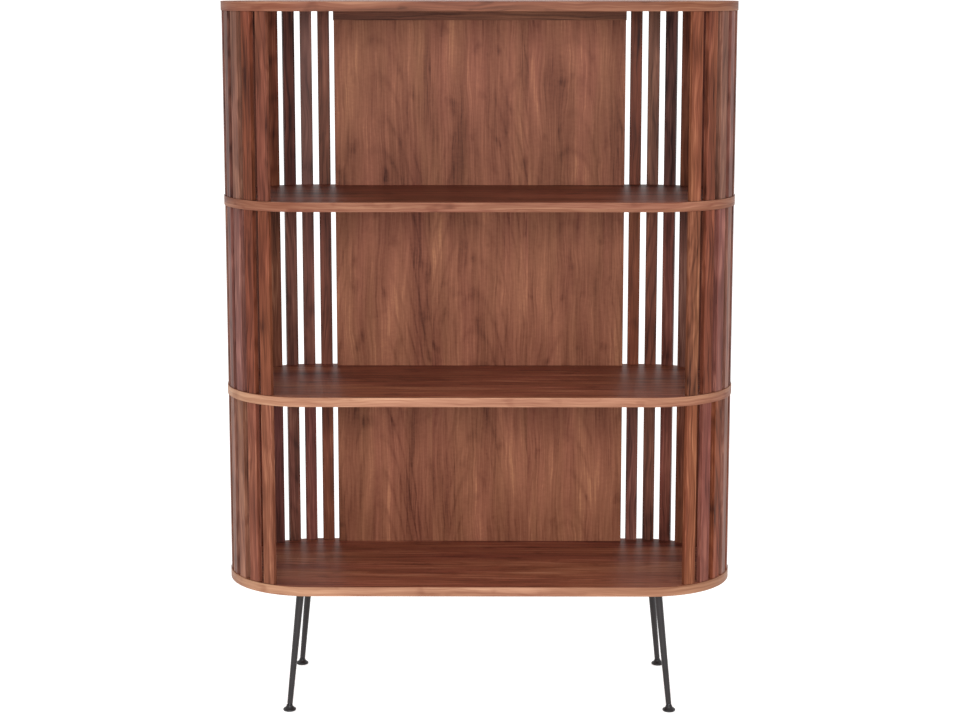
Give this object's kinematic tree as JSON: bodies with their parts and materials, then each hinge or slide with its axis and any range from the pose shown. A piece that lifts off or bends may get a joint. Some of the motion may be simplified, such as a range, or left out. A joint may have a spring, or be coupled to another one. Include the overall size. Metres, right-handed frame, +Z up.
{
  "type": "bookcase",
  "caption": "Tall open bookcase with rounded slatted ends, fixed veneered shelves, a closed back and splayed steel legs on levelling feet.",
  "frame": {"origin": "on the floor, under the middle of the bookcase", "axes": "+Z up, -Y out of the open front, +X to the right of a person who faces the front"},
  "size_m": [1.1, 0.4, 1.525],
  "materials": {
    "walnut_veneer": "clear satin lacquer over walnut veneer",
    "solid_walnut": "clear satin lacquer on solid walnut",
    "beech": "raw fluted beech",
    "black_powder_coat": "satin brown-black powder coat",
    "zinc_steel": "bright zinc plate",
    "black_nylon": "moulded nylon with a fine grain"
  },
  "bodies": {
    "case": {"bottom_board": "walnut_veneer", "lower_shelf": "walnut_veneer", "upper_shelf": "walnut_veneer", "top_board": "walnut_veneer", "lower_back_panel": "walnut_veneer", "middle_back_panel": "walnut_veneer", "upper_back_panel": "walnut_veneer", "top_rail": "walnut_veneer", "left_lower_screen": "solid_walnut", "left_middle_screen": "solid_walnut", "left_upper_screen": "solid_walnut", "right_lower_screen": "solid_walnut", "right_middle_screen": "solid_walnut", "right_upper_screen": "solid_walnut", "bottom_board_left_dowel": "beech", "bottom_board_right_dowel": "beech", "lower_shelf_left_dowel": "beech", "lower_shelf_right_dowel": "beech", "upper_shelf_left_dowel": "beech", "upper_shelf_right_dowel": "beech", "top_board_left_dowel": "beech", "top_board_right_dowel": "beech", "rail_screw_1": "zinc_steel", "rail_screw_2": "zinc_steel", "rail_screw_3": "zinc_steel", "front_left_leg": "black_powder_coat", "front_left_plate": "black_powder_coat", "front_left_bush": "zinc_steel", "front_left_plate_screw_1": "zinc_steel", "front_left_plate_screw_2": "zinc_steel", "front_left_plate_screw_3": "zinc_steel", "front_right_leg": "black_powder_coat", "front_right_plate": "black_powder_coat", "front_right_bush": "zinc_steel", "front_right_plate_screw_1": "zinc_steel", "front_right_plate_screw_2": "zinc_steel", "front_right_plate_screw_3": "zinc_steel", "rear_left_leg": "black_powder_coat", "rear_left_plate": "black_powder_coat", "rear_left_bush": "zinc_steel", "rear_left_plate_screw_1": "zinc_steel", "rear_left_plate_screw_2": "zinc_steel", "rear_left_plate_screw_3": "zinc_steel", "rear_right_leg": "black_powder_coat", "rear_right_plate": "black_powder_coat", "rear_right_bush": "zinc_steel", "rear_right_plate_screw_1": "zinc_steel", "rear_right_plate_screw_2": "zinc_steel", "rear_right_plate_screw_3": "zinc_steel"},
    "front_left_foot": {"front_left_stud": "zinc_steel", "front_left_pad": "black_nylon"},
    "front_right_foot": {"front_right_stud": "zinc_steel", "front_right_pad": "black_nylon"},
    "rear_left_foot": {"rear_left_stud": "zinc_steel", "rear_left_pad": "black_nylon"},
    "rear_right_foot": {"rear_right_stud": "zinc_steel", "rear_right_pad": "black_nylon"}
  },
  "joints": [
    {"name": "front_left_foot_slide", "type": "slide", "parent": "case", "child": "front_left_foot", "axis": [-0.0976, -0.0976, -0.9904], "range_m": [0, 0.007]},
    {"name": "front_right_foot_slide", "type": "slide", "parent": "case", "child": "front_right_foot", "axis": [0.0976, -0.0976, -0.9904], "range_m": [0, 0.007]},
    {"name": "rear_left_foot_slide", "type": "slide", "parent": "case", "child": "rear_left_foot", "axis": [-0.0976, 0.0976, -0.9904], "range_m": [0, 0.007]},
    {"name": "rear_right_foot_slide", "type": "slide", "parent": "case", "child": "rear_right_foot", "axis": [0.0976, 0.0976, -0.9904], "range_m": [0, 0.007]}
  ]
}
